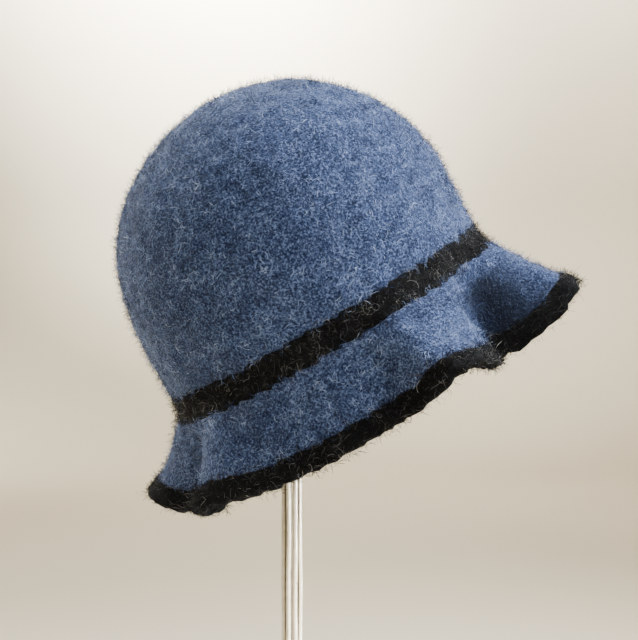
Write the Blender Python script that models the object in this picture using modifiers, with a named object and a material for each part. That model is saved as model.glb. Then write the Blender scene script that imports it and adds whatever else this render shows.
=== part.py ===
"""Felted wool hat hung on a slim wire stand.

Metres, +Z up, the viewer looks along +Y. The origin is on the stand's axis, at the underside of its base.
The hat has a frame of its own: azimuth 0 faces the viewer and grows to the right, and height is counted
from the dark stripe's centre line. hat_point() carries that frame to where the hat hangs, tilted.
"""

from math import asin, cos, pi, radians, sin, sqrt

import bmesh
import bpy

# The hat
CROWN_RADIUS = 0.0955  # outer, at the side wall
CROWN_HEIGHT = 0.1362  # stripe's centre line to the top
WALL_HEIGHT = 0.044  # upright part of the side wall, from the stripe's centre line
STRIPE_WIDTH = 0.0145
BRIM_LENGTH = 0.049  # along the felt, from the stripe to the outer edge
EDGING_WIDTH = 0.0115
FELT = 0.004  # knitted and fulled wool
EDGING_THICKNESS = 0.0055
SEAM_GAP = 0.0004

# How the hat hangs
HANG_HEIGHT = 0.252  # stripe's centre above the floor
HANG_ASIDE = 0.020  # and to the right of the stand
TILT = radians(30.5)  # right side up
NOD = radians(4.0)  # towards the viewer
CROWN_LEAN = radians(2.6)  # the soft crown leans back to the right
LEAN_HEIGHT = 0.06  # the lean is whole from this height up

# The brim's folds. Each row is a ridge, a valley or a stretch between them:
# azimuth, slope from upright at the stripe's lower edge, mean slope from there to the brim's edge,
# how far the fold turns sideways on that way, and the brim's extra length there.
# Angles are in degrees, the length in metres.
FOLDS = (
    (-93, 40, 54, 0, -0.003),
    (-71, 8, 13, 0, 0.000),
    (-49, 34, 45, -5, -0.003),
    (-36, 18, 29, -2, -0.002),
    (-16, 8, 22, 0, -0.002),
    (4, 2, 15, 0, -0.003),
    (16, 40, 39, 3, -0.002),
    (31, 24, 22, 1, 0.000),
    (51, -26, -13, -4, 0.002),
    (73, 34, 39, -5, 0.003),
    (98, 16, 29, 0, 0.003),
    (118, 18, 36, 0, 0.003),
    (150, 15, 25, 0, 0.002),
    (182, 26, 44, 0, 0.000),
    (225, 14, 24, 0, -0.003),
)

# The stand
BASE_RADIUS = 0.080
BASE_HEIGHT = 0.006
BASE_ROUNDING = 0.0025
HUB_RADIUS = 0.011
HUB_HEIGHT = 0.014  # above the base
WIRE_RADIUS = 0.00145
WIRES = 8
WIRE_RING_RADIUS = 0.0046
WIRE_SEAT = 0.010  # depth of the wires in the hub and in the head
HEAD_RADIUS = 0.036
HEAD_DOME = 0.060  # radius of the dome's curve
HEAD_EDGE = 0.004  # height of the head's rim
HEAD_HUB_HEIGHT = 0.012  # below the head
FIT_GAP = 0.0003
HEAD_CLEARANCE = 0.0004

# Facets
AROUND = 88
CROWN_ROWS = 13
STRIPE_ROWS = 2
BRIM_ROWS = 5
EDGING_ROWS = 2
TURNED_STEPS = 30
WIRE_SIDES_RESOLUTION = 2


def clear_scene():
    for obj in list(bpy.data.objects):
        bpy.data.objects.remove(obj, do_unlink=True)


def material(name, colour, roughness, metallic=0.0):
    mat = bpy.data.materials.new(name)
    mat.use_nodes = True
    shader = mat.node_tree.nodes["Principled BSDF"]
    shader.inputs["Base Color"].default_value = (*colour, 1.0)
    shader.inputs["Roughness"].default_value = roughness
    shader.inputs["Metallic"].default_value = metallic
    return mat


def smooth_step(t):
    t = min(max(t, 0.0), 1.0)
    return t * t * (3 - 2 * t)


def fold_tables():
    """The fold rows over three turns, with a slope at each that never overshoots the row's neighbours."""
    rows = [(row[0] + turn, *row[1:]) for turn in (-360, 0, 360) for row in FOLDS]
    slopes = []
    for i, row in enumerate(rows):
        slope = [0.0] * (len(row) - 1)
        if 0 < i < len(rows) - 1:
            for k in range(1, len(row)):
                before = (row[k] - rows[i - 1][k]) / (row[0] - rows[i - 1][0])
                after = (rows[i + 1][k] - row[k]) / (rows[i + 1][0] - row[0])
                if before * after > 0:
                    slope[k - 1] = 2 * before * after / (before + after)
        slopes.append(slope)
    return rows, slopes


FOLD_ROWS, FOLD_SLOPES = fold_tables()


def fold_at(azimuth):
    """The table's other columns at an azimuth in degrees, on smooth curves through its rows."""
    azimuth = (azimuth - FOLDS[0][0]) % 360 + FOLDS[0][0]
    i = max(k for k, row in enumerate(FOLD_ROWS) if row[0] <= azimuth)
    low, high = FOLD_ROWS[i], FOLD_ROWS[i + 1]
    span = high[0] - low[0]
    t = (azimuth - low[0]) / span
    found = []
    for k in range(1, len(low)):
        bulge = (t**3 - 2 * t**2 + t) * FOLD_SLOPES[i][k - 1] + (t**3 - t**2) * FOLD_SLOPES[i + 1][k - 1]
        found.append(low[k] + (high[k] - low[k]) * (3 * t**2 - 2 * t**3) + span * bulge)
    return found


def hat_point(azimuth, radius, height):
    """A point of the hat's own frame, where the hat hangs."""
    angle = radians(azimuth)
    across, back = radius * sin(angle), -radius * cos(angle)
    lean = CROWN_LEAN * smooth_step(height / LEAN_HEIGHT)
    across, up = across * cos(lean) + height * sin(lean), height * cos(lean) - across * sin(lean)
    y = back * cos(NOD) - up * sin(NOD)
    raised = up * cos(NOD) + back * sin(NOD)
    x = HANG_ASIDE + across * cos(TILT) - raised * sin(TILT)
    z = HANG_HEIGHT + across * sin(TILT) + raised * cos(TILT)
    return x, y, z


def crown_point(azimuth, share, inset=0.0):
    """A point of the crown's outer face; share runs from its lower rim, 0, to its top, 1."""
    rim = STRIPE_WIDTH / 2 + SEAM_GAP
    wall = WALL_HEIGHT - rim
    dome = CROWN_HEIGHT - WALL_HEIGHT
    along = share * (wall + (dome + CROWN_RADIUS) / 2 * pi / 2)
    if along < wall:
        return hat_point(azimuth, CROWN_RADIUS - inset, rim + along)
    angle = (along - wall) / ((dome + CROWN_RADIUS) / 2)
    height = WALL_HEIGHT + (dome - inset) * sin(angle)
    return hat_point(azimuth, (CROWN_RADIUS - inset) * cos(angle), height)


def arc_chord(length, bend):
    """The straight distance between the ends of an arc."""
    return length if abs(bend) < 1e-9 else length * sin(bend / 2) / (bend / 2)


def brim_length(azimuth):
    return BRIM_LENGTH + fold_at(azimuth)[3]


def felt_below(azimuth, along, inset=0.0):
    """A point of the stripe and the brim; along is the way down the felt from the stripe's upper edge."""
    start, slope, turn, _ = fold_at(azimuth)
    start, slope = radians(start), radians(slope)
    in_stripe = min(along, STRIPE_WIDTH)
    bend = start * in_stripe / STRIPE_WIDTH
    chord = arc_chord(in_stripe, bend)
    radius = CROWN_RADIUS + chord * sin(bend / 2)
    height = STRIPE_WIDTH / 2 - chord * cos(bend / 2)
    past = max(along - STRIPE_WIDTH, 0.0)
    share_past = past / brim_length(azimuth)
    curl = 2 * (slope - start) * share_past
    chord = arc_chord(past, curl)
    radius += chord * sin(start + curl / 2)
    height -= chord * cos(start + curl / 2)
    lying = bend + curl
    radius -= inset * cos(lying)
    height -= inset * sin(lying)
    return hat_point(azimuth + turn * share_past**2, radius, height)


def felt_surface(name, rows, mat, group, cap):
    """An open surface through rings of points up to a cap, given thickness inwards by Solidify."""
    work = bmesh.new()
    rings = [[work.verts.new(point(360 * i / AROUND)) for i in range(AROUND)] for point in rows]
    for lower, upper in zip(rings, rings[1:]):
        for i in range(AROUND):
            j = (i + 1) % AROUND
            work.faces.new((lower[i], lower[j], upper[j], upper[i]))
    top = work.verts.new(cap)
    for i in range(AROUND):
        work.faces.new((rings[-1][i], rings[-1][(i + 1) % AROUND], top))
    obj = mesh_object(name, work, mat, group)
    solid = obj.modifiers.new("felt", "SOLIDIFY")
    solid.thickness = FELT
    solid.offset = -1.0
    return obj


def felt_loop(name, section, stretch, mat, group):
    """A closed ring of felt. At each azimuth its section runs through pairs of a share and an inset:
    the share is of the stretch between two distances down the felt, the inset from the outer face.
    """
    work = bmesh.new()
    rings = []
    for i in range(AROUND):
        azimuth = 360 * i / AROUND
        first, last = stretch(azimuth)
        points = [felt_below(azimuth, first + share * (last - first), inset) for share, inset in section]
        rings.append([work.verts.new(point) for point in points])
    for i, ring in enumerate(rings):
        following = rings[(i + 1) % AROUND]
        for k in range(len(section)):
            n = (k + 1) % len(section)
            corners = [ring[k], ring[n], following[n], following[k]]
            if section[n][1] < section[k][1]:
                # Both sides of a seam are split along the same diagonal, so their twisted ends stay apart
                corners = corners[1:] + corners[:1]
            work.faces.new(corners[:3])
            work.faces.new((corners[0], *corners[2:]))
    return mesh_object(name, work, mat, group)


def mesh_object(name, work, mat, group):
    mesh = bpy.data.meshes.new(name)
    work.to_mesh(mesh)
    work.free()
    mesh.materials.append(mat)
    mesh.shade_smooth()
    mesh.set_sharp_from_angle(angle=radians(50))
    obj = bpy.data.objects.new(name, mesh)
    group.objects.link(obj)
    return obj


def shares(count, low=0.0, high=1.0):
    return [low + (high - low) * i / count for i in range(count + 1)]


def crown(mat, group):
    rows = [lambda a, s=s: crown_point(a, s) for s in shares(CROWN_ROWS)[:-1]]
    return felt_surface("crown", rows, mat, group, cap=crown_point(0, 1.0))


def even_section(rows):
    """A strip of felt: down its outer face and back up its inner one."""
    return [(share, 0.0) for share in shares(rows)] + [(share, FELT) for share in shares(rows)[::-1]]


def stripe(mat, group):
    return felt_loop("band", even_section(STRIPE_ROWS), lambda azimuth: (0.0, STRIPE_WIDTH), mat, group)


def brim(mat, group):
    def stretch(azimuth):
        return STRIPE_WIDTH + SEAM_GAP, STRIPE_WIDTH + brim_length(azimuth) - EDGING_WIDTH

    return felt_loop("brim", even_section(BRIM_ROWS), stretch, mat, group)


def edging(mat, group):
    """The brim's border: thicker than the felt it follows, with a rolled outer edge."""
    proud = (EDGING_THICKNESS - FELT) / 2
    half = EDGING_THICKNESS / 2
    section = [(0.0, 0.0), (0.25, -proud)]
    section += [(share, -proud) for share in shares(EDGING_ROWS, 0.5, 1 - half / EDGING_WIDTH)]
    roll = [(sin(a), cos(a)) for a in (radians(45), radians(90), radians(135))]
    section += [(1 - (1 - out) * half / EDGING_WIDTH, FELT / 2 - half * deep) for out, deep in roll]
    section += [(share, FELT + proud) for share in shares(EDGING_ROWS, 0.5, 1 - half / EDGING_WIDTH)[::-1]]
    section += [(0.25, FELT + proud), (0.0, FELT)]

    def stretch(azimuth):
        end = STRIPE_WIDTH + brim_length(azimuth)
        return end - EDGING_WIDTH + SEAM_GAP, end

    return felt_loop("brim_edge", section, stretch, mat, group)


def turned(name, profile, mat, group):
    """A turned piece: its profile runs from the axis at the top, down the outer side, back to the axis."""
    work = bmesh.new()
    points = [work.verts.new((radius, 0.0, height)) for radius, height in profile]
    for first, second in zip(points, points[1:]):
        work.edges.new((first, second))
    obj = mesh_object(name, work, mat, group)
    screw = obj.modifiers.new("turn", "SCREW")
    screw.steps = TURNED_STEPS
    screw.render_steps = TURNED_STEPS
    screw.use_merge_vertices = True
    screw.merge_threshold = 0.00001
    return obj


def socket_radius():
    return WIRE_RING_RADIUS + WIRE_RADIUS + FIT_GAP


def head_top():
    """The dome's top: just under the crown's inner face, above the stand's axis."""
    def felt_over(radius, angle):
        return inner_height(radius * cos(angle), radius * sin(angle))

    tops = []
    for ring in range(8):
        radius = HEAD_RADIUS * ring / 7
        drop = HEAD_DOME - sqrt(HEAD_DOME**2 - radius**2)
        tops += [felt_over(radius, 2 * pi * k / 24) + drop for k in range(24)]
    return min(tops) - HEAD_CLEARANCE


def inner_height(x, y):
    """Height of the crown's inner face over a point of the floor, by closing in on it from the hat's axis."""
    share, azimuth = 0.85, 90.0
    step_share, step_azimuth = 0.05, 20.0
    best = None
    while step_share > 1e-6:
        moved = False
        for a in (azimuth - step_azimuth, azimuth, azimuth + step_azimuth):
            for s in (share - step_share, share, share + step_share):
                if not 0.0 <= s <= 1.0:
                    continue
                px, py, pz = crown_point(a, s, FELT)
                miss = (px - x) ** 2 + (py - y) ** 2
                if best is None or miss < best[0]:
                    best = (miss, a, s, pz)
                    moved = True
        _, azimuth, share, height = best
        if not moved:
            step_share /= 2
            step_azimuth /= 2
    return height


def stand_base(mat, group):
    top = BASE_HEIGHT + HUB_HEIGHT
    floor = top - WIRE_SEAT
    profile = [(0.0, floor), (socket_radius(), floor), (socket_radius(), top), (HUB_RADIUS, top)]
    fillet = HUB_HEIGHT / 2
    for k in range(5):
        angle = pi / 2 * k / 4
        profile.append((HUB_RADIUS + fillet * (1 - cos(angle)), BASE_HEIGHT + fillet * (1 - sin(angle))))
    for k in range(4):
        angle = pi / 2 * k / 3
        across = BASE_RADIUS - BASE_ROUNDING * (1 - sin(angle))
        profile.append((across, BASE_HEIGHT - BASE_ROUNDING * (1 - cos(angle))))
    profile += [(BASE_RADIUS, 0.0), (0.0, 0.0)]
    return turned("stand_base", profile, mat, group)


def stand_head(top, mat, group):
    lens = asin(HEAD_RADIUS / HEAD_DOME)
    profile = []
    for k in range(9):
        angle = lens * k / 8
        profile.append((HEAD_DOME * sin(angle), top - HEAD_DOME * (1 - cos(angle))))
    rim = profile[-1][1] - HEAD_EDGE
    hub = rim - HEAD_HUB_HEIGHT
    profile += [(HEAD_RADIUS, rim), (HUB_RADIUS, rim), (HUB_RADIUS, hub)]
    profile += [(socket_radius(), hub), (socket_radius(), hub + WIRE_SEAT), (0.0, hub + WIRE_SEAT)]
    turned("stand_head", profile, mat, group)
    return hub + WIRE_SEAT


def wire(name, x, y, bottom, top, mat, group):
    line = bpy.data.curves.new(name, "CURVE")
    line.dimensions = "3D"
    line.bevel_depth = WIRE_RADIUS
    line.bevel_resolution = WIRE_SIDES_RESOLUTION
    line.use_fill_caps = True
    spline = line.splines.new("POLY")
    spline.points.add(1)
    spline.points[0].co = (0, 0, 0, 1)
    spline.points[1].co = (0, 0, top - bottom, 1)
    line.materials.append(mat)
    obj = bpy.data.objects.new(name, line)
    obj.location = (x, y, bottom)
    group.objects.link(obj)
    return obj


def stand_wires(ceiling, mat, group):
    floor = BASE_HEIGHT + HUB_HEIGHT - WIRE_SEAT
    for k in range(WIRES):
        angle = 2 * pi * (k + 0.5) / WIRES
        x, y = WIRE_RING_RADIUS * cos(angle), WIRE_RING_RADIUS * sin(angle)
        wire(f"wire_{k + 1}", x, y, floor + FIT_GAP, ceiling - FIT_GAP, mat, group)


def main():
    clear_scene()
    group = bpy.data.collections.new("felt_hat_on_stand")
    bpy.context.scene.collection.children.link(group)
    blue = material("blue_felt", (0.115, 0.185, 0.305), 0.95)
    black = material("black_felt", (0.012, 0.013, 0.016), 0.95)
    white = material("painted_metal", (0.76, 0.74, 0.66), 0.35)
    crown(blue, group)
    stripe(black, group)
    brim(blue, group)
    edging(black, group)
    stand_base(white, group)
    stand_wires(stand_head(head_top(), white, group), white, group)


main()
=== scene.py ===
"""Looks of the felted hat on its wire stand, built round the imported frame.

The hat's felt is one surface, given by felt(): azimuth in degrees from the side that faces the
viewer, and `way`, the distance along the felt from the stripe's upper edge, down the brim if positive
and up the crown if negative. Every felt piece and every fibre is placed on it.
"""

from math import asin, cos, pi, radians, sin, sqrt

import bpy
import numpy as np
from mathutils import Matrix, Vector


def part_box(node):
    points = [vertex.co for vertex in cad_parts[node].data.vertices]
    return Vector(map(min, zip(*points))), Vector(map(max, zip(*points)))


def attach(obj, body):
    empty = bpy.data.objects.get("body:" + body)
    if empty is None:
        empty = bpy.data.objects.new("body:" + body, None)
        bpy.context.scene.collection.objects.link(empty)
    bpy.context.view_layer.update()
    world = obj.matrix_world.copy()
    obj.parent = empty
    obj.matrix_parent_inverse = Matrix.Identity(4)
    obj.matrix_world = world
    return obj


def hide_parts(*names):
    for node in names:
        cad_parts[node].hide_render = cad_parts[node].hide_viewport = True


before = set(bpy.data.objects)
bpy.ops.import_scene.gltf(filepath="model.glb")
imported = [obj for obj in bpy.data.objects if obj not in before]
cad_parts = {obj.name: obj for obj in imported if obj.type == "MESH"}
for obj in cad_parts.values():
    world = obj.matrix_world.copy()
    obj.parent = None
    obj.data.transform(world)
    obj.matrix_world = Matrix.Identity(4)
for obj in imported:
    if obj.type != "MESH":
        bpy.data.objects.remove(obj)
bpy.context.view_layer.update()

# The hat, as the frame's solids have it, in metres
CROWN_RADIUS = 0.0955
CROWN_HEIGHT = 0.1362
WALL_HEIGHT = 0.044
STRIPE_WIDTH = 0.0145
BRIM_LENGTH = 0.049
EDGING_WIDTH = 0.0115
FELT = 0.004
EDGING_THICKNESS = 0.0055

# How it hangs
HANG_HEIGHT = 0.252
HANG_ASIDE = 0.020
TILT = radians(30.5)
NOD = radians(4.0)
CROWN_LEAN = radians(2.6)
LEAN_HEIGHT = 0.06

# The brim's folds: azimuth, slope from upright at the stripe's lower edge, mean slope below it,
# sideways turn towards the brim's edge, and the brim's extra length there
FOLDS = np.array((
    (-93, 40, 54, 0, -0.003),
    (-71, 8, 13, 0, 0.000),
    (-49, 34, 45, -5, -0.003),
    (-36, 18, 29, -2, -0.002),
    (-16, 8, 22, 0, -0.002),
    (4, 2, 15, 0, -0.003),
    (16, 40, 39, 3, -0.002),
    (31, 24, 22, 1, 0.000),
    (51, -26, -13, -4, 0.002),
    (73, 34, 39, -5, 0.003),
    (98, 16, 29, 0, 0.003),
    (118, 18, 36, 0, 0.003),
    (150, 15, 25, 0, 0.002),
    (182, 26, 44, 0, 0.000),
    (225, 14, 24, 0, -0.003),
), float)

# The stand
WIRES = 8
WIRE_RADIUS = 0.00145
WIRE_RING_RADIUS = 0.0046
WIRE_GAP = 0.0003
WIRE_SEAT = 0.010
WIRE_SWAY = 0.00012
HUB_RADIUS = 0.011
HUB_HEIGHT = 0.014
BASE_ROUNDING = 0.0025
HUB_ROUNDING = 0.0008
SMALL_BEVEL = 0.0006

# The seams between blue and black run in knitted steps: a stitch's width, the gap left between
# the pieces, and each seam's step height
STITCH = 0.0105
SEAM_GAP = 0.00015
CROWN_RIM_STEP = 0.0011
BRIM_TOP_STEP = 0.0010
EDGING_TOP_STEP = 0.0009
BRIM_END_STEP = 0.0010
# The radius at which a seam's stitches are counted
EDGING_TOP_RADIUS = 0.125
BRIM_END_RADIUS = 0.13
# The lowest and highest steps as shares of that height, and the share of a stitch on which it rises
STEP_LEVELS = (0.35, 1.15)
STEP_RISE = 0.8

# The fulled surface's lumps: height and size in metres, and the noise's seed
LUMPS = ((0.00060, 0.024, 11), (0.00055, 0.0075, 12), (0.00045, 0.0034, 13))
# How much of them the inner faces show, and how much more of them the edging has
INNER_LUMPS = 0.6
EDGING_LUMPS = 2.1
EDGING_INNER_LUMPS = 1.5

# The shade of the brim's deep fold: its middle and half width in degrees of azimuth, how far down
# the felt it starts, the way on which it fades in, and how much darker it makes the fibres
SHADE_AZIMUTH = 59.0
SHADE_WIDTH = 9.0
SHADE_START = 0.018
SHADE_FADE = 0.010
SHADE_TONE = 0.72
SHADE_COLOUR = (0.006, 0.009, 0.020, 1.0)

# Fibres: how many there are on each piece, how deep they are rooted, and the sizes of the small and
# wider noise spots in which their tone is darkened, painted shade standing for the felt's hollows
CROWN_FIBRES = 49000  # in each of two pieces
BRIM_FIBRES = 49000
BAND_FIBRES = 15000
EDGING_FIBRES = 26000
BAND_HAIRS = 1500
EDGING_HAIRS = 2200
ROOT_DEPTH = 0.0002
SEAM_SCATTER = 0.0006
PIT_SHADE_SIZE = 0.0029
WIDE_PIT_SHADE_SIZE = 0.0065
PIT_SHADE_TONE = 3.0

AROUND_CROWN = 340
AROUND_BRIM = 400
CROWN_ROWS = 80
CROWN_INNER_ROWS = 20
BAND_ROWS = 12
BRIM_ROWS = 34
EDGING_ROWS = 25
CROWN_TOP_SHARE = 0.992  # the last ring's place on the way to the crown's top

# Colours, linear, as (place on the ramp, colour) stops
BLUE_STOPS = (
    (0.34, (0.007, 0.011, 0.032)),
    (0.50, (0.034, 0.055, 0.135)),
    (0.64, (0.145, 0.21, 0.42)),
)
BLUE_FIBRES = (
    (0.0, (0.006, 0.011, 0.036)),
    (0.28, (0.033, 0.060, 0.155)),
    (0.52, (0.122, 0.188, 0.395)),
    (0.82, (0.27, 0.375, 0.67)),
    (1.0, (0.50, 0.62, 0.90)),
)
BLUE_PATCHES = ((0.35, (0.80, 0.82, 0.86)), (0.65, (1.12, 1.10, 1.06)))
BLUE_TINT = (0.55, 0.68, 0.90)
BLACK_STOPS = (
    (0.30, (0.002, 0.002, 0.003)),
    (0.55, (0.005, 0.006, 0.007)),
    (0.75, (0.012, 0.013, 0.016)),
)
BLACK_FIBRES = (
    (0.0, (0.002, 0.002, 0.003)),
    (0.5, (0.005, 0.006, 0.008)),
    (0.82, (0.024, 0.027, 0.033)),
    (1.0, (0.16, 0.17, 0.18)),
)
BLACK_PATCHES = ((0.35, (0.85, 0.85, 0.85)), (0.65, (1.15, 1.15, 1.15)))
GREY_FIBRES = ((0.0, (0.08, 0.08, 0.085)), (0.6, (0.24, 0.24, 0.24)), (1.0, (0.60, 0.60, 0.58)))
GREY_TINT = (0.7, 0.72, 0.76)
PAINT_STOPS = ((0.35, (0.64, 0.57, 0.42)), (0.65, (0.76, 0.70, 0.55)))
# The painted shade between the stem's wires, from none to the darkest
WIRE_GAP_SHADE_STOPS = ((0.0, (1.0, 1.0, 1.0)), (0.45, (0.60, 0.54, 0.46)), (1.0, (0.05, 0.04, 0.03)))
STEEL_COLOUR = (0.03, 0.024, 0.018, 1.0)
STUDIO_STOPS = ((0.3, (0.60, 0.54, 0.42)), (0.7, (0.63, 0.57, 0.445)))

# The studio: the wall's distance and height, and the radius of the curve between floor and wall
STUDIO_RADIUS = 2.0
STUDIO_HEIGHT = 2.8
STUDIO_CURVE = 0.5
STUDIO_SIDES = 96

# The lamps: name, place, aim, diameter, power in watts, colour, spread in degrees
HAT_MIDDLE = (0.02, 0.0, 0.27)
WALL_LIGHT = (1.0, 0.99, 0.95)
LAMPS = (
    ("key", (0.92, -0.06, 0.94), HAT_MIDDLE, 0.5, 5.8, (0.97, 0.98, 1.0), 70),
    ("top", (0.15, 0.10, 1.35), HAT_MIDDLE, 0.5, 1.8, (0.98, 0.99, 1.0), 70),
    ("front", (0.55, -0.95, 0.88), HAT_MIDDLE, 0.8, 4.0, (1.0, 0.95, 0.88), 90),
    ("left", (-0.70, 0.40, 0.55), HAT_MIDDLE, 0.5, 2.3, (1.0, 0.96, 0.90), 70),
    ("low_window", (0.60, -0.34, 0.06), (0.0, 0.0, 0.06), 0.10, 0.55, (1.0, 0.98, 0.94), 24),
    ("wall_middle", (-0.22, 1.26, 2.15), (-0.22, 2.00, 1.35), 0.60, 92.7, WALL_LIGHT, 45),
    ("wall_left", (-0.82, 1.26, 1.95), (-0.74, 2.00, 1.07), 0.30, 7.3, WALL_LIGHT, 35),
    ("wall_right", (0.49, 1.26, 1.95), (0.49, 2.00, 0.99), 0.40, 15.3, (1.0, 0.97, 0.91), 60),
    ("wall_low", (-1.32, 0.76, 0.25), (-0.50, 1.86, -0.25), 0.40, 6.0, WALL_LIGHT, 60),
    ("wall_near", (0.40, -1.30, 2.10), (0.40, -2.00, 1.20), 0.60, 9.0, WALL_LIGHT, 60),
    ("floor_far", (0.10, 1.15, 1.50), (0.10, 1.15, 0.0), 0.80, 4.5, WALL_LIGHT, 80),
)
SKY_COLOUR = (1.0, 0.97, 0.92, 1.0)
SKY_STRENGTH = 0.05

# The camera, level and in front of the stand
LENS = 75.94
SENSOR = 36.0
CAMERA_PLACE = (0.015, -0.75, 0.2528)


def smooth01(t):
    t = np.clip(t, 0.0, 1.0)
    return t * t * (3 - 2 * t)


def lattice_noise(points, size, seed):
    """Smooth noise from -1 to 1 at points, with features of that size in metres."""
    table = np.random.default_rng(seed).uniform(-1, 1, (32, 32, 32))
    p = points / size
    cell = np.floor(p).astype(int)
    t = p - cell
    t = t * t * (3 - 2 * t)
    total = np.zeros(len(points))
    for corner in range(8):
        step = np.array([corner & 1, corner >> 1 & 1, corner >> 2 & 1])
        weight = np.prod(np.where(step, t, 1 - t), axis=1)
        i, j, k = ((cell + step) % 32).T
        total += weight * table[i, j, k]
    return total


def fold_slopes(rows):
    """Slopes through the table's rows that overshoot no neighbour."""
    steps = np.diff(rows[:, 1:], axis=0) / np.diff(rows[:, 0])[:, None]
    slopes = np.zeros_like(rows[:, 1:])
    before, after = steps[:-1], steps[1:]
    same = before * after > 0
    total = np.where(same, before + after, 1.0)
    slopes[1:-1] = np.where(same, 2 * before * after / total, 0.0)
    return slopes


FOLD_ROWS = np.concatenate([FOLDS + np.array([turn, 0, 0, 0, 0]) for turn in (-360, 0, 360)])
FOLD_SLOPES = fold_slopes(FOLD_ROWS)


def fold_at(azimuth):
    """The table's other columns at azimuths."""
    azimuth = (azimuth - FOLDS[0, 0]) % 360 + FOLDS[0, 0]
    i = np.searchsorted(FOLD_ROWS[:, 0], azimuth, side="right") - 1
    low, high = FOLD_ROWS[i], FOLD_ROWS[i + 1]
    span = (high[:, 0] - low[:, 0])[:, None]
    t = (azimuth - low[:, 0])[:, None] / span
    bulge = (t**3 - 2 * t**2 + t) * FOLD_SLOPES[i] + (t**3 - t**2) * FOLD_SLOPES[i + 1]
    found = low[:, 1:] + (high - low)[:, 1:] * (3 * t**2 - 2 * t**3) + span * bulge
    return found.T


def hat_points(azimuth, radius, height):
    """Points of the hat's own frame, where the hat hangs."""
    angle = np.radians(azimuth)
    across, back = radius * np.sin(angle), -radius * np.cos(angle)
    lean = CROWN_LEAN * smooth01(height / LEAN_HEIGHT)
    up = height * np.cos(lean) - across * np.sin(lean)
    across = across * np.cos(lean) + height * np.sin(lean)
    raised = up * cos(NOD) + back * sin(NOD)
    x = HANG_ASIDE + across * cos(TILT) - raised * sin(TILT)
    y = back * cos(NOD) - up * sin(NOD)
    z = HANG_HEIGHT + across * sin(TILT) + raised * cos(TILT)
    return np.stack([x, y, z], axis=-1)


def arc_chord(length, bend):
    return length * np.sinc(bend / 2 / pi)


def brim_length(azimuth):
    return BRIM_LENGTH + fold_at(azimuth)[3]


CROWN_WALL = WALL_HEIGHT - STRIPE_WIDTH / 2
CROWN_ARC = (CROWN_HEIGHT - WALL_HEIGHT + CROWN_RADIUS) / 2
CROWN_WAY = CROWN_WALL + CROWN_ARC * pi / 2


def felt(azimuth, way, inset=0.0):
    """Points of the felt; inset goes inwards from its outer face, and is negative outside it."""
    azimuth, way, inset = np.broadcast_arrays(np.asarray(azimuth, float), way, inset)
    up = np.maximum(-way, 0.0)
    angle = np.clip((up - CROWN_WALL) / CROWN_ARC, 0.0, pi / 2)
    crown_radius = (CROWN_RADIUS - inset) * np.cos(angle)
    dome = (CROWN_HEIGHT - WALL_HEIGHT - inset) * np.sin(angle)
    crown_height = STRIPE_WIDTH / 2 + np.minimum(up, CROWN_WALL) + dome
    start, slope, turn, _ = fold_at(azimuth)
    start, slope = np.radians(start), np.radians(slope)
    in_stripe = np.clip(way, 0.0, STRIPE_WIDTH)
    bend = start * in_stripe / STRIPE_WIDTH
    chord = arc_chord(in_stripe, bend)
    radius = CROWN_RADIUS + chord * np.sin(bend / 2)
    height = STRIPE_WIDTH / 2 - chord * np.cos(bend / 2)
    past = np.maximum(way - STRIPE_WIDTH, 0.0)
    share_past = past / brim_length(azimuth)
    curl = 2 * (slope - start) * share_past
    chord = arc_chord(past, curl)
    radius = radius + chord * np.sin(start + curl / 2) - inset * np.cos(bend + curl)
    height = height - chord * np.cos(start + curl / 2) - inset * np.sin(bend + curl)
    on_crown = way < 0
    return hat_points(
        azimuth + turn * share_past**2,
        np.where(on_crown, crown_radius, radius),
        np.where(on_crown, crown_height, height),
    )


def lumps(azimuth, way):
    """How far the fulled surface stands proud of its even form."""
    place = felt(azimuth, way)
    return sum(height * lattice_noise(place, size, seed) for height, size, seed in LUMPS)


def step_wave(azimuth, radius, seed, height):
    """A seam's ups and downs: uneven knitted steps, slow one way and sudden the other."""
    rng = np.random.default_rng(seed)
    count = int(2 * pi * radius / STITCH)
    levels = rng.uniform(*STEP_LEVELS, count)
    turn = np.radians(np.asarray(azimuth, float) % 360)
    place = turn / (2 * pi) * count + 0.35 * np.sin(7 * turn + seed) + 0.2 * np.sin(18 * turn)
    t = place % 1.0
    fall = 1 - smooth01((t - STEP_RISE) / (1 - STEP_RISE))
    step = np.where(t < STEP_RISE, t / STEP_RISE, fall)
    return height * (2 * levels[np.floor(place).astype(int) % count] * step - 1)


def crown_rim(azimuth):
    return step_wave(azimuth, CROWN_RADIUS, 21, CROWN_RIM_STEP)


def brim_top(azimuth):
    return STRIPE_WIDTH + step_wave(azimuth, CROWN_RADIUS, 22, BRIM_TOP_STEP)


def edging_top(azimuth):
    steps = step_wave(azimuth, EDGING_TOP_RADIUS, 23, EDGING_TOP_STEP)
    return STRIPE_WIDTH + brim_length(azimuth) - EDGING_WIDTH + steps


def brim_end(azimuth):
    steps = step_wave(azimuth, BRIM_END_RADIUS, 24, BRIM_END_STEP)
    return STRIPE_WIDTH + brim_length(azimuth) + steps


def new_mesh(name, points, faces, mat):
    """An object from an array of points and arrays of faces, one array for each number of corners."""
    mesh = bpy.data.meshes.new(name)
    loops = np.concatenate([f.ravel() for f in faces]).astype(np.int32)
    sizes = np.concatenate([np.full(len(f), f.shape[1]) for f in faces])
    starts = np.concatenate([[0], np.cumsum(sizes)[:-1]]).astype(np.int32)
    mesh.vertices.add(len(points))
    mesh.vertices.foreach_set("co", points.astype(np.float32).ravel())
    mesh.loops.add(len(loops))
    mesh.loops.foreach_set("vertex_index", loops)
    mesh.polygons.add(len(starts))
    mesh.polygons.foreach_set("loop_start", starts)
    mesh.update(calc_edges=True)
    mesh.shade_smooth()
    mesh.materials.append(mat)
    obj = bpy.data.objects.new(name, mesh)
    bpy.context.scene.collection.objects.link(obj)
    return obj


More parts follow.
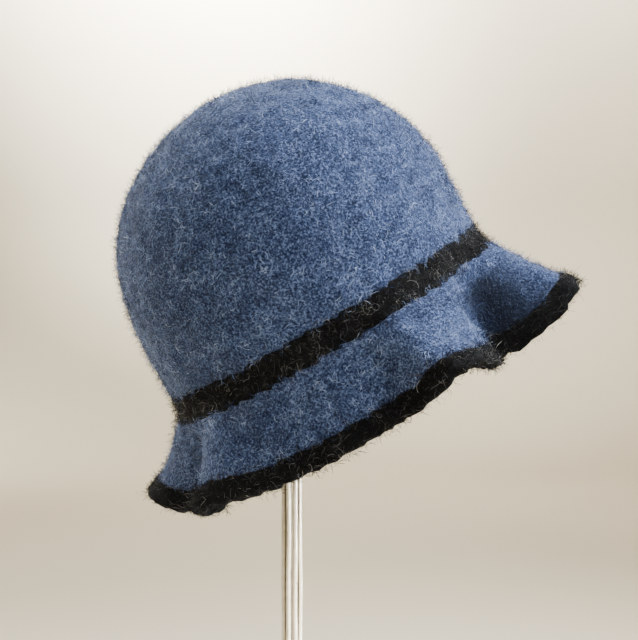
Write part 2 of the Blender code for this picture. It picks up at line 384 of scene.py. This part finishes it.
def ring_faces(rings, around, closed=False):
    """Quads between rings of points that follow one another."""
    i = np.arange(around)
    j = (i + 1) % around
    found = []
    for r in range(rings if closed else rings - 1):
        low, high = r * around, (r + 1) % rings * around
        found.append(np.stack([low + i, low + j, high + j, high + i], axis=1))
    return np.concatenate(found)


def fan(first, around, centre, flip=False):
    """Triangles from a ring of points, which starts at number `first`, to one point in its middle."""
    i = np.arange(around)
    j = (i + 1) % around
    if flip:
        i, j = j, i
    return np.stack([first + i, first + j, np.full_like(i, centre)], axis=1)


def circle(radius, height, steps):
    angle = np.arange(steps) * 2 * pi / steps
    return np.stack([radius * np.cos(angle), radius * np.sin(angle), np.full(steps, height)], axis=1)


def point_values(obj, name, values):
    """A number for each of the mesh's points, for its material to read."""
    attribute = obj.data.attributes.new(name, "FLOAT", "POINT")
    attribute.data.foreach_set("value", values.astype(np.float32))


def felt_ring(name, first, last, rows, around, mat):
    """A closed ring of felt between two seams, each a function of the azimuth."""
    azimuth = np.arange(around) * 360.0 / around
    start, end = first(azimuth) + SEAM_GAP, last(azimuth) - SEAM_GAP
    shares = np.concatenate([np.linspace(0, 1, rows), np.linspace(1, 0, rows // 2 + 1)])
    rings = []
    for share in shares[:rows]:
        way = start + share * (end - start)
        rings.append(felt(azimuth, way, -lumps(azimuth, way)))
    for share in shares[rows:]:
        way = start + share * (end - start)
        rings.append(felt(azimuth, way, FELT + INNER_LUMPS * lumps(azimuth, way)))
    faces = ring_faces(len(rings), around, closed=True)[:, ::-1]
    obj = new_mesh(name, np.concatenate(rings), [faces], mat)
    ways = np.concatenate([start + share * (end - start) for share in shares])
    point_values(obj, "shade", fold_shade(np.tile(azimuth, len(shares)), ways))
    return obj


def felt_dome(name, mat):
    """The crown: an inner and an outer dome that meet at the rim."""
    azimuth = np.arange(AROUND_CROWN) * 360.0 / AROUND_CROWN
    rim = crown_rim(azimuth) - SEAM_GAP
    top = -CROWN_TOP_SHARE * CROWN_WAY
    rings = []
    for share in np.linspace(0, 1, CROWN_INNER_ROWS):
        way = top + (rim - top) * share
        rings.append(felt(azimuth, way, FELT + INNER_LUMPS * lumps(azimuth, way)))
    for share in np.linspace(0, 1, CROWN_ROWS):
        way = rim + (top - rim) * share
        rings.append(felt(azimuth, way, -lumps(azimuth, way)))
    apex = np.zeros(1)
    tops = [felt(apex, -CROWN_WAY, FELT), felt(apex, -CROWN_WAY, -lumps(apex, -CROWN_WAY))]
    count = len(rings) * AROUND_CROWN
    inside = fan(0, AROUND_CROWN, count, flip=True)
    outside = fan(count - AROUND_CROWN, AROUND_CROWN, count + 1)
    quads = ring_faces(len(rings), AROUND_CROWN)
    return new_mesh(name, np.concatenate([*rings, *tops]), [quads, inside, outside], mat)


def edging_ring(name, mat):
    """The brim's border: thicker than the brim, and rolled at its outer edge."""
    azimuth = np.arange(AROUND_BRIM) * 360.0 / AROUND_BRIM
    start, end = edging_top(azimuth) + SEAM_GAP, brim_end(azimuth)
    half = EDGING_THICKNESS / 2
    rings = []
    for t in np.linspace(0, pi, EDGING_ROWS):
        # The rolled end is a half circle, and the two faces run back from it to the seam.
        if t < pi / 4 or t > 3 * pi / 4:
            share = min(t, pi - t) / (pi / 4) * (1 - half / EDGING_WIDTH)
            swell = FELT / 2 + (half - FELT / 2) * smooth01(share / 0.25)
            depth = swell if t > pi / 2 else -swell
        else:
            turn = (t - pi / 4) * 2
            share = 1 - half / EDGING_WIDTH * (1 - sin(turn))
            depth = -half * cos(turn)
        way = start + share * (end - start)
        high = lumps(azimuth, way) * (EDGING_LUMPS if depth < 0 else -EDGING_INNER_LUMPS)
        rings.append(felt(azimuth, way, FELT / 2 + depth - high))
    faces = ring_faces(len(rings), AROUND_BRIM, closed=True)[:, ::-1]
    return new_mesh(name, np.concatenate(rings), [faces], mat)


def fold_shade(azimuth, way):
    """The shade of the deep fold at the right, from 0 to 1, toned into the wool there.

    It stands in for depth: the real fold is deeper than this one, and hardly any light reaches it.
    """
    across = (azimuth - SHADE_AZIMUTH) / SHADE_WIDTH
    return np.exp(-across**2) * smooth01((way - SHADE_START) / SHADE_FADE)


def unit(vectors):
    return vectors / np.maximum(np.linalg.norm(vectors, axis=-1, keepdims=True), 1e-12)


def surface_frame(azimuth, way):
    """The felt's outward normal and two directions along it."""
    outward = unit(felt(azimuth, way, -0.001) - felt(azimuth, way, 0.001))
    along = felt(azimuth, way + 0.0004) - felt(azimuth, way - 0.0004)
    along = unit(along - outward * np.sum(along * outward, axis=-1, keepdims=True))
    return outward, along, np.cross(outward, along)


def fibres(name, azimuth, way, inside, length, width, rise, mat, seed, bends=2, curl=1.3):
    """Thin tapered strips rooted in the felt, one for each azimuth and way, joined in one mesh.

    They set off at any angle along the felt, rising from it by `rise` radians, and curl as they go.
    """
    rng = np.random.default_rng(seed)
    count = len(azimuth)
    outward, along, sideways = surface_frame(azimuth, way)
    high = lumps(azimuth, way) - ROOT_DEPTH
    root = felt(azimuth, way, np.where(inside, FELT - high, -high))
    outward = np.where(inside[:, None], -outward, outward)
    heading = rng.uniform(0, 2 * pi, count)
    turn = rng.normal(0, curl, count)
    sink = rng.normal(0.25, 0.25, count)
    steps = bends + 1
    line = [root]
    for k in range(steps):
        a = heading + turn * k / bends
        up = rise - sink * k
        flat = along * np.cos(a)[:, None] + sideways * np.sin(a)[:, None]
        ahead = flat * np.cos(up)[:, None] + outward * np.sin(up)[:, None]
        line.append(line[-1] + ahead * (length / steps)[:, None])
    line = np.stack(line, axis=1)
    facing = unit(outward + 0.7 * rng.normal(0, 1, (count, 3)))
    points = [line[:, :1]]
    for k in range(1, steps):
        side = unit(np.cross(line[:, k + 1] - line[:, k - 1], facing)) * (width / 2)[:, None]
        points.append(np.stack([line[:, k] - side, line[:, k] + side], axis=1))
    points.append(line[:, steps:])
    points = np.concatenate(points, axis=1)
    each = points.shape[1]
    first = np.arange(count)[:, None] * each
    tips = np.concatenate([first + [0, 1, 2], first + [each - 3, each - 1, each - 2]])
    strips = [first + [1 + 2 * k, 3 + 2 * k, 4 + 2 * k, 2 + 2 * k] for k in range(bends - 1)]
    obj = new_mesh(name, points.reshape(-1, 3), [tips, *strips], mat)
    # Painted shade: fibres in noise spots that stand for the felt's hollows are darkened.
    pit_shade = np.maximum(-0.05 - lattice_noise(root, PIT_SHADE_SIZE, 14), 0)
    pit_shade += 0.6 * np.maximum(-lattice_noise(root, WIDE_PIT_SHADE_SIZE, 15), 0)
    tones = rng.random(count) * np.clip(1 - PIT_SHADE_TONE * pit_shade, 0.06, 1)
    # Painted shade: the brim's deep fold darkens the fibres there.
    tones = tones * (1 - SHADE_TONE * fold_shade(azimuth, way))
    point_values(obj, "tone", np.repeat(tones, each))
    return obj


def link(tree, output, to):
    tree.links.new(output, to)


def node(tree, kind, **values):
    made = tree.nodes.new(kind)
    for name, value in values.items():
        setattr(made, name, value)
    return made


def ramp(tree, fac, stops):
    """A colour ramp through (place, colour) stops."""
    made = node(tree, "ShaderNodeValToRGB")
    elements = made.color_ramp.elements
    while len(elements) > 1:
        elements.remove(elements[-1])
    for k, (place, colour) in enumerate(stops):
        element = elements[0] if k == 0 else elements.new(place)
        element.position = place
        element.color = (*colour, 1.0)
    link(tree, fac, made.inputs["Fac"])
    return made.outputs["Color"]


def noise(tree, size, detail=2.0, roughness=0.5, seed=0.0):
    """Noise with features of about that size in metres."""
    place = node(tree, "ShaderNodeTexCoord")
    shift = node(tree, "ShaderNodeMapping")
    shift.inputs["Location"].default_value = (seed, seed * 0.7, seed * 1.3)
    made = node(tree, "ShaderNodeTexNoise")
    made.inputs["Scale"].default_value = 1 / size
    made.inputs["Detail"].default_value = detail
    made.inputs["Roughness"].default_value = roughness
    link(tree, place.outputs["Object"], shift.inputs["Vector"])
    link(tree, shift.outputs["Vector"], made.inputs["Vector"])
    return made.outputs["Fac"]


def mixed(tree, fac, first, second, blend="MIX"):
    made = node(tree, "ShaderNodeMix", data_type="RGBA", blend_type=blend)
    if isinstance(fac, float):
        made.inputs[0].default_value = fac
    else:
        link(tree, fac, made.inputs[0])
    link(tree, first, made.inputs[6])
    if isinstance(second, tuple):
        made.inputs[7].default_value = second
    else:
        link(tree, second, made.inputs[7])
    return made.outputs[2]


def bump(tree, height, distance, strength, after=None):
    made = node(tree, "ShaderNodeBump")
    made.inputs["Strength"].default_value = strength
    made.inputs["Distance"].default_value = distance
    link(tree, height, made.inputs["Height"])
    if after is not None:
        link(tree, after, made.inputs["Normal"])
    return made.outputs["Normal"]


def plain_material(name, roughness):
    mat = bpy.data.materials.new(name)
    mat.use_nodes = True
    shader = mat.node_tree.nodes["Principled BSDF"]
    shader.inputs["Roughness"].default_value = roughness
    return mat, mat.node_tree, shader


def soften(shader, weight, tint):
    """A soft wool sheen, and hardly any gloss."""
    shader.inputs["Sheen Weight"].default_value = weight
    shader.inputs["Sheen Roughness"].default_value = 0.4
    shader.inputs["Sheen Tint"].default_value = (*tint, 1.0)
    shader.inputs["Specular IOR Level"].default_value = 0.12


def felt_material(name, stops, patches, sheen, tint):
    """Heathered felt: speckles of several dyed wools in slow patches, on a matted, pitted surface."""
    mat, tree, shader = plain_material(name, 0.95)
    speckle = ramp(tree, noise(tree, 0.0011, 3.0, 0.7), stops)
    patch = ramp(tree, noise(tree, 0.016, 2.0, 0.6, 3.0), patches)
    wool = mixed(tree, 1.0, speckle, patch, "MULTIPLY")
    # Painted shade: the brim's deep fold darkens the felt's colour there.
    shade = node(tree, "ShaderNodeAttribute", attribute_name="shade")
    shaded = mixed(tree, shade.outputs["Fac"], wool, SHADE_COLOUR)
    link(tree, shaded, shader.inputs["Base Color"])
    pits = bump(tree, noise(tree, 0.0017, 3.0, 0.65, 5.0), 0.0009, 0.9)
    relief = bump(tree, noise(tree, 0.006, 2.0, 0.5, 9.0), 0.0010, 0.5, pits)
    link(tree, relief, shader.inputs["Normal"])
    soften(shader, sheen, tint)
    return mat


def fibre_material(name, stops, sheen, tint):
    """Single wool fibres, each of one dye, by the mesh's tone."""
    mat, tree, shader = plain_material(name, 0.8)
    tone = node(tree, "ShaderNodeAttribute", attribute_name="tone")
    link(tree, ramp(tree, tone.outputs["Fac"], stops), shader.inputs["Base Color"])
    soften(shader, sheen, tint)
    return mat


def spread(count, first, last, seed, inside_share):
    """Roots scattered evenly over a stretch of felt between two seams."""
    rng = np.random.default_rng(seed)
    azimuth = rng.uniform(0.0, 360.0, count)
    low, high = first(azimuth), last(azimuth)
    way = low + (high - low) * rng.random(count) + rng.normal(0, SEAM_SCATTER, count)
    return azimuth, way, rng.random(count) < inside_share


def dome_spread(count, seed, inside_share):
    """Roots scattered evenly over the crown: fewer where the dome narrows."""
    rng = np.random.default_rng(seed)
    way = -CROWN_WAY * rng.random(count * 3)
    narrow = np.cos(np.clip((-way - CROWN_WALL) / CROWN_ARC, 0, pi / 2))
    way = way[rng.random(count * 3) < narrow][:count]
    azimuth = rng.uniform(0, 360, len(way))
    way = way + (crown_rim(azimuth) + rng.normal(0.0002, 0.0007, len(way))) * (way > -0.01)
    return azimuth, way, rng.random(len(way)) < inside_share


def fur(name, roots, mat, seed, standing=0.22, width=(0.00009, 0.00021)):
    """Short matted fibres, most of them lying in the felt and a share of them standing up."""
    rng = np.random.default_rng(seed)
    count = len(roots[0])
    rise = np.abs(rng.normal(0.1, 0.35, count))
    tall = rng.random(count) < standing
    rise = np.where(tall, rng.uniform(0.5, 1.3, count), rise)
    lengths = rng.uniform(0.0022, 0.0065, count) * np.where(tall, 1.1, 1.0)
    return fibres(name, *roots, lengths, rng.uniform(*width, count), rise, mat, seed + 1)


def stray_hairs(name, roots, mat, seed):
    """Long loose hairs that loop over the felt."""
    rng = np.random.default_rng(seed)
    count = len(roots[0])
    lengths = rng.uniform(0.004, 0.012, count)
    rise = rng.uniform(0.1, 0.6, count)
    widths = rng.uniform(0.00006, 0.00013, count)
    return fibres(name, *roots, lengths, widths, rise, mat, seed + 1, bends=8, curl=3.6)


def dress(obj, slot, *nodes):
    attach(obj, "root")
    if nodes:
        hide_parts(*nodes)


def dress_hat():
    blue = felt_material("blue_felt_base", BLUE_STOPS, BLUE_PATCHES, 0.35, BLUE_TINT)
    black = felt_material("black_felt_base", BLACK_STOPS, BLACK_PATCHES, 0.02, GREY_TINT)
    blue_wool = fibre_material("blue_wool", BLUE_FIBRES, 0.5, BLUE_TINT)
    black_wool = fibre_material("black_wool", BLACK_FIBRES, 0.03, GREY_TINT)
    grey_wool = fibre_material("grey_wool", GREY_FIBRES, 0.2, GREY_TINT)
    dress(felt_dome("crown_felt", blue), "blue_felt", "crown")
    band = felt_ring("band_felt", crown_rim, brim_top, BAND_ROWS, AROUND_CROWN, black)
    dress(band, "black_felt", "band")
    brim = felt_ring("brim_felt", brim_top, edging_top, BRIM_ROWS, AROUND_BRIM, blue)
    dress(brim, "blue_felt", "brim")
    dress(edging_ring("edging_felt", black), "black_felt", "brim_edge")
    share = 1.0
    for k in range(2):
        roots = dome_spread(int(CROWN_FIBRES * share), 31 + k, 0.10)
        dress(fur(f"crown_fuzz_{k + 1}", roots, blue_wool, 41 + k), "blue_felt")
    roots = spread(int(BRIM_FIBRES * share), brim_top, edging_top, 33, 0.35)
    dress(fur("brim_fuzz", roots, blue_wool, 43), "blue_felt")
    roots = spread(int(BAND_FIBRES * share), crown_rim, brim_top, 34, 0.15)
    dress(fur("band_fuzz", roots, black_wool, 44), "black_felt")
    roots = spread(int(EDGING_FIBRES * share), edging_top, brim_end, 35, 0.4)
    fuzz = fur("edging_fuzz", roots, black_wool, 45, standing=0.4, width=(0.00012, 0.00026))
    dress(fuzz, "black_felt")
    roots = spread(BAND_HAIRS, crown_rim, brim_top, 36, 0.0)
    dress(stray_hairs("band_hairs", roots, grey_wool, 46), "black_felt")
    roots = spread(EDGING_HAIRS, edging_top, brim_end, 37, 0.3)
    dress(stray_hairs("edging_hairs", roots, grey_wool, 47), "black_felt")


def painted_material(name, gap_shaded=False):
    """Cream gloss paint over steel, chipped in a few places; if asked, darkened by the mesh's painted
    shade between the wires.
    """
    mat, tree, shader = plain_material(name, 0.22)
    paint = ramp(tree, noise(tree, 0.004, 2.0, 0.5, 2.0), PAINT_STOPS)
    if gap_shaded:
        # Painted shade: the wire's sides that face its neighbours are darkened.
        gap_shade = node(tree, "ShaderNodeAttribute", attribute_name="gap_shade")
        gap_shade_colour = ramp(tree, gap_shade.outputs["Fac"], WIRE_GAP_SHADE_STOPS)
        paint = mixed(tree, 1.0, paint, gap_shade_colour, "MULTIPLY")
    chips = noise(tree, 0.0035, 2.0, 0.6, 7.0)
    worn = ramp(tree, chips, ((0.715, (0, 0, 0)), (0.725, (1, 1, 1))))
    link(tree, mixed(tree, worn, paint, STEEL_COLOUR), shader.inputs["Base Color"])
    rough = ramp(tree, chips, ((0.70, (0.22,) * 3), (0.75, (0.65,) * 3)))
    link(tree, rough, shader.inputs["Roughness"])
    link(tree, bump(tree, noise(tree, 0.0012, 2.0, 0.5, 4.0), 0.00005, 0.4), shader.inputs["Normal"])
    shader.inputs["Coat Weight"].default_value = 0.6
    shader.inputs["Coat Roughness"].default_value = 0.12
    return mat


def turned(name, profile, steps, mat):
    """A turned piece, its profile running from the axis, over the outer side, back to the axis."""
    rings = [circle(r, z, steps) for r, z in profile[1:-1]]
    count = len(rings) * steps
    ends = np.array([(0, 0, profile[0][1]), (0, 0, profile[-1][1])])
    fans = [fan(0, steps, count), fan(count - steps, steps, count + 1, flip=True)]
    quads = ring_faces(len(rings), steps)[:, ::-1]
    obj = new_mesh(name, np.concatenate([*rings, ends]), [quads, *fans], mat)
    obj.data.set_sharp_from_angle(angle=radians(40))
    return obj


def arc(x, z, radius, start, end, steps):
    """Points of a profile round a corner, angles in degrees."""
    angles = np.radians(np.linspace(start, end, steps))
    return [(x + radius * cos(a), z + radius * sin(a)) for a in angles]


def base_profile(reach, bottom, top):
    """The base and its hub, from the wires' seat in the hub over the outside to the underside."""
    bore = WIRE_RING_RADIUS + WIRE_RADIUS + WIRE_GAP
    plate = top - HUB_HEIGHT
    flare = HUB_HEIGHT / 2
    profile = [(0.0, top - WIRE_SEAT), (bore, top - WIRE_SEAT), (bore, top - SMALL_BEVEL)]
    profile += [(bore + SMALL_BEVEL, top), (HUB_RADIUS - HUB_ROUNDING, top)]
    profile += arc(HUB_RADIUS - HUB_ROUNDING, top - HUB_ROUNDING, HUB_ROUNDING, 80, 0, 4)
    profile += arc(HUB_RADIUS + flare, plate + flare, flare, 180, 270, 12)
    profile += arc(reach - BASE_ROUNDING, plate - BASE_ROUNDING, BASE_ROUNDING, 90, 0, 10)
    profile += [(reach, bottom + SMALL_BEVEL), (reach - SMALL_BEVEL, bottom), (0.0, bottom)]
    return profile


def dress_stand():
    paint = painted_material("stand_paint")
    low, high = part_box("stand_base")
    profile = base_profile(high[0], low[2], high[2])
    dress(turned("base_plate", profile, 128, paint), "painted_metal", "stand_base")
    wire_paint = painted_material("wire_paint", gap_shaded=True)
    axis_x, axis_y = (low[0] + high[0]) / 2, (low[1] + high[1]) / 2
    for k in range(WIRES):
        wire = stand_wire(k, axis_x, axis_y, wire_paint)
        dress(wire, "painted_metal", f"wire_{k + 1}")
    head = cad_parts["stand_head"]
    head.data.materials.clear()
    head.data.materials.append(paint)


def stand_wire(k, axis_x, axis_y, mat):
    """One wire of the stem, very slightly wavy, with painted shade where it faces its neighbours."""
    (x0, y0, z0), (x1, y1, z1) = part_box(f"wire_{k + 1}")
    x, y = (x0 + x1) / 2, (y0 + y1) / 2
    rng = np.random.default_rng(60 + k)
    sides, rows = 20, 60
    z = np.linspace(z0, z1, rows)
    sway = np.sin(pi * (z - z0) / (z1 - z0))
    phases = rng.uniform(0, 2 * pi, 4)
    dx = WIRE_SWAY * sway * (np.sin(z * 55 + phases[0]) + np.sin(z * 130 + phases[1]))
    dy = WIRE_SWAY * sway * (np.sin(z * 60 + phases[2]) + np.sin(z * 120 + phases[3]))
    ring = circle(1.0, 0.0, sides)
    rings = [ring * WIRE_RADIUS + [x + dx[row], y + dy[row], z[row]] for row in range(rows)]
    outward = unit(np.array([x - axis_x, y - axis_y, 0.0]))
    # Painted shade on the wire's sides that face the ring's middle and its neighbours
    gap_shade = smooth01((0.55 - ring @ outward) / 0.9)
    count = rows * sides
    ends = np.array([(x, y, z0), (x, y, z1)])
    fans = [fan(0, sides, count, flip=True), fan(count - sides, sides, count + 1)]
    faces = [ring_faces(rows, sides), *fans]
    obj = new_mesh(f"stem_{k + 1}", np.concatenate([*rings, ends]), faces, mat)
    point_values(obj, "gap_shade", np.concatenate([np.tile(gap_shade, rows), [0.5, 0.5]]))
    return obj


def backdrop():
    """A round pale studio: a floor that curves up into a wall on every side."""
    floor = STUDIO_RADIUS - STUDIO_CURVE
    outline = [(0.5, 0.0), (1.0, 0.0), (floor, 0.0)]
    outline += arc(floor, STUDIO_CURVE, STUDIO_CURVE, -90, 0, 16)[1:]
    outline += [(STUDIO_RADIUS, z) for z in (1.2, 2.0, STUDIO_HEIGHT)]
    rings = [circle(r, z, STUDIO_SIDES) for r, z in outline]
    middle = fan(0, STUDIO_SIDES, len(rings) * STUDIO_SIDES, flip=True)
    faces = [ring_faces(len(rings), STUDIO_SIDES), middle]
    mat, tree, shader = plain_material("pale_sweep", 0.9)
    tint = ramp(tree, noise(tree, 0.6, 1.0, 0.4), STUDIO_STOPS)
    link(tree, tint, shader.inputs["Base Color"])
    shader.inputs["Specular IOR Level"].default_value = 0.1
    new_mesh("sweep", np.concatenate([*rings, np.zeros((1, 3))]), faces, mat)


def area_light(name, place, aim, size, power, colour, spread):
    data = bpy.data.lights.new(name, "AREA")
    data.shape = "DISK"
    data.size = size
    data.spread = radians(spread)
    data.energy = power
    data.color = colour
    obj = bpy.data.objects.new(name, data)
    obj.location = place
    obj.visible_camera = False
    obj.rotation_euler = (Vector(aim) - Vector(place)).to_track_quat("-Z", "Y").to_euler()
    bpy.context.scene.collection.objects.link(obj)


def light_studio():
    for lamp in LAMPS:
        area_light(*lamp)
    world = bpy.data.worlds.new("studio")
    world.use_nodes = True
    sky = world.node_tree.nodes["Background"]
    sky.inputs["Color"].default_value = SKY_COLOUR
    sky.inputs["Strength"].default_value = SKY_STRENGTH
    bpy.context.scene.world = world


def place_camera():
    data = bpy.data.cameras.new("camera")
    data.lens = LENS
    data.sensor_width = SENSOR
    data.clip_start = 0.05
    obj = bpy.data.objects.new("camera", data)
    obj.location = CAMERA_PLACE
    obj.rotation_euler = (pi / 2, 0, 0)
    bpy.context.scene.collection.objects.link(obj)
    bpy.context.scene.camera = obj


place_camera()
light_studio()
backdrop()
dress_hat()
dress_stand()
